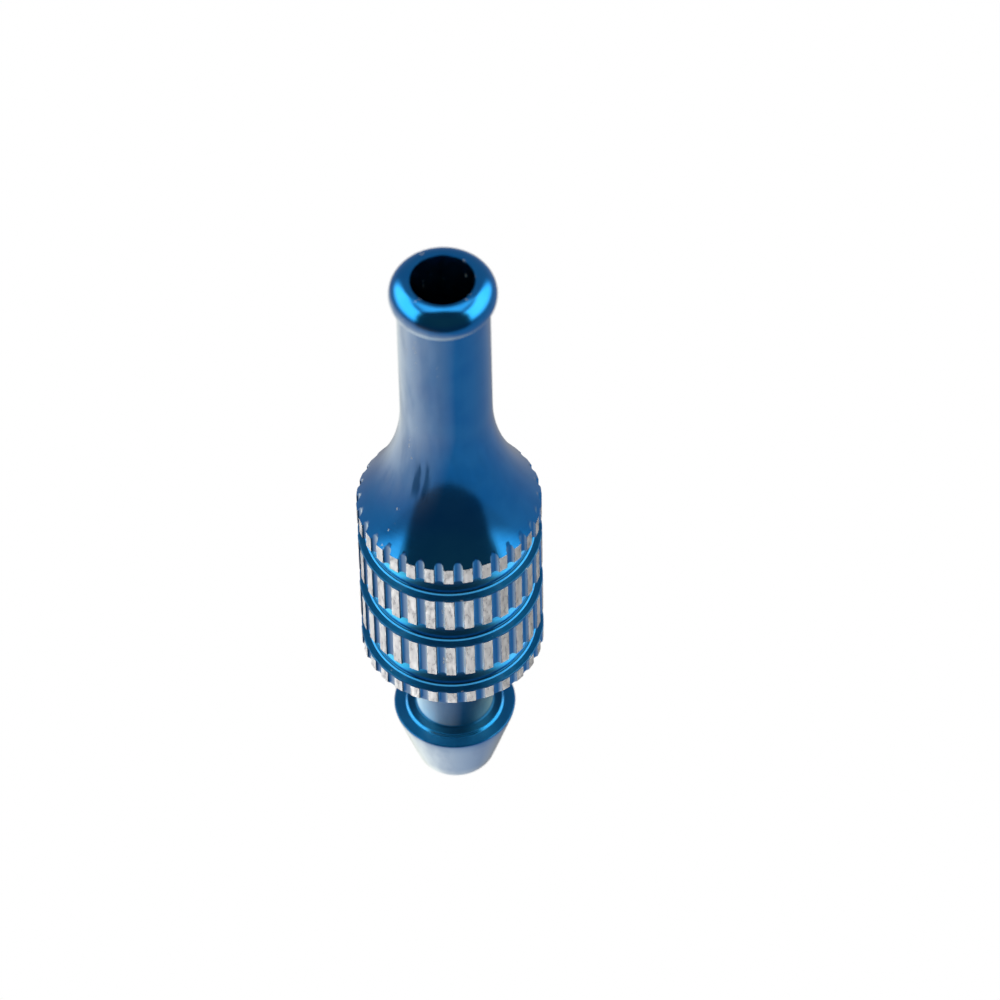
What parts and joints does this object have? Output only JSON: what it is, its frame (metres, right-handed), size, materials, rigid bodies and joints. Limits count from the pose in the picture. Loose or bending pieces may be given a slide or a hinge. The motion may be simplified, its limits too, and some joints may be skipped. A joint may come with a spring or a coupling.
{
  "type": "inline hose filter",
  "caption": "Small blue anodised inline hose filter: fluted barrel with a beaded hose neck and a screw-in barbed tail plug, holding a sprung screen cartridge.",
  "frame": {"origin": "centre of the flat end of the tail tip, on the filter's axis", "axes": "+Z along the axis from the tail tip to the bead; -Y passes through the middle of one flute crest"},
  "size_m": [0.012, 0.012, 0.048],
  "materials": {
    "blue_anodised": "satin blue anodising, flute crests skimmed back to bare metal",
    "seal_rubber": "moulded nitrile rubber",
    "gasket_fibre": "pressed red fibre",
    "brass": "turned",
    "stainless": "bright drawn"
  },
  "bodies": {
    "body": {"barrel_body": "blue_anodised", "spring_washer": "stainless", "cartridge_spring": "stainless"},
    "cartridge": {"cartridge_cap": "brass", "cartridge_core": "brass", "coarse_screen": "stainless", "fine_screen": "stainless", "cartridge_collar": "brass", "seat_gasket": "gasket_fibre"},
    "plug": {"tail_plug": "blue_anodised", "plug_o_ring": "seal_rubber"}
  },
  "joints": [
    {"name": "cartridge_travel", "type": "slide", "parent": "body", "child": "cartridge", "axis": [0, 0, -1], "range_m": [0, 0.004], "deforming": ["cartridge_spring"]},
    {"name": "plug_turn", "type": "hinge", "parent": "cartridge", "child": "plug", "pos_m": [0, 0, 0.012], "axis": [0, 0, -1], "range_deg": [0, 1440]}
  ],
  "couplings": [
    {"joint": "plug_turn", "follows": "cartridge_travel", "rad_per_m": 6283.2}
  ]
}
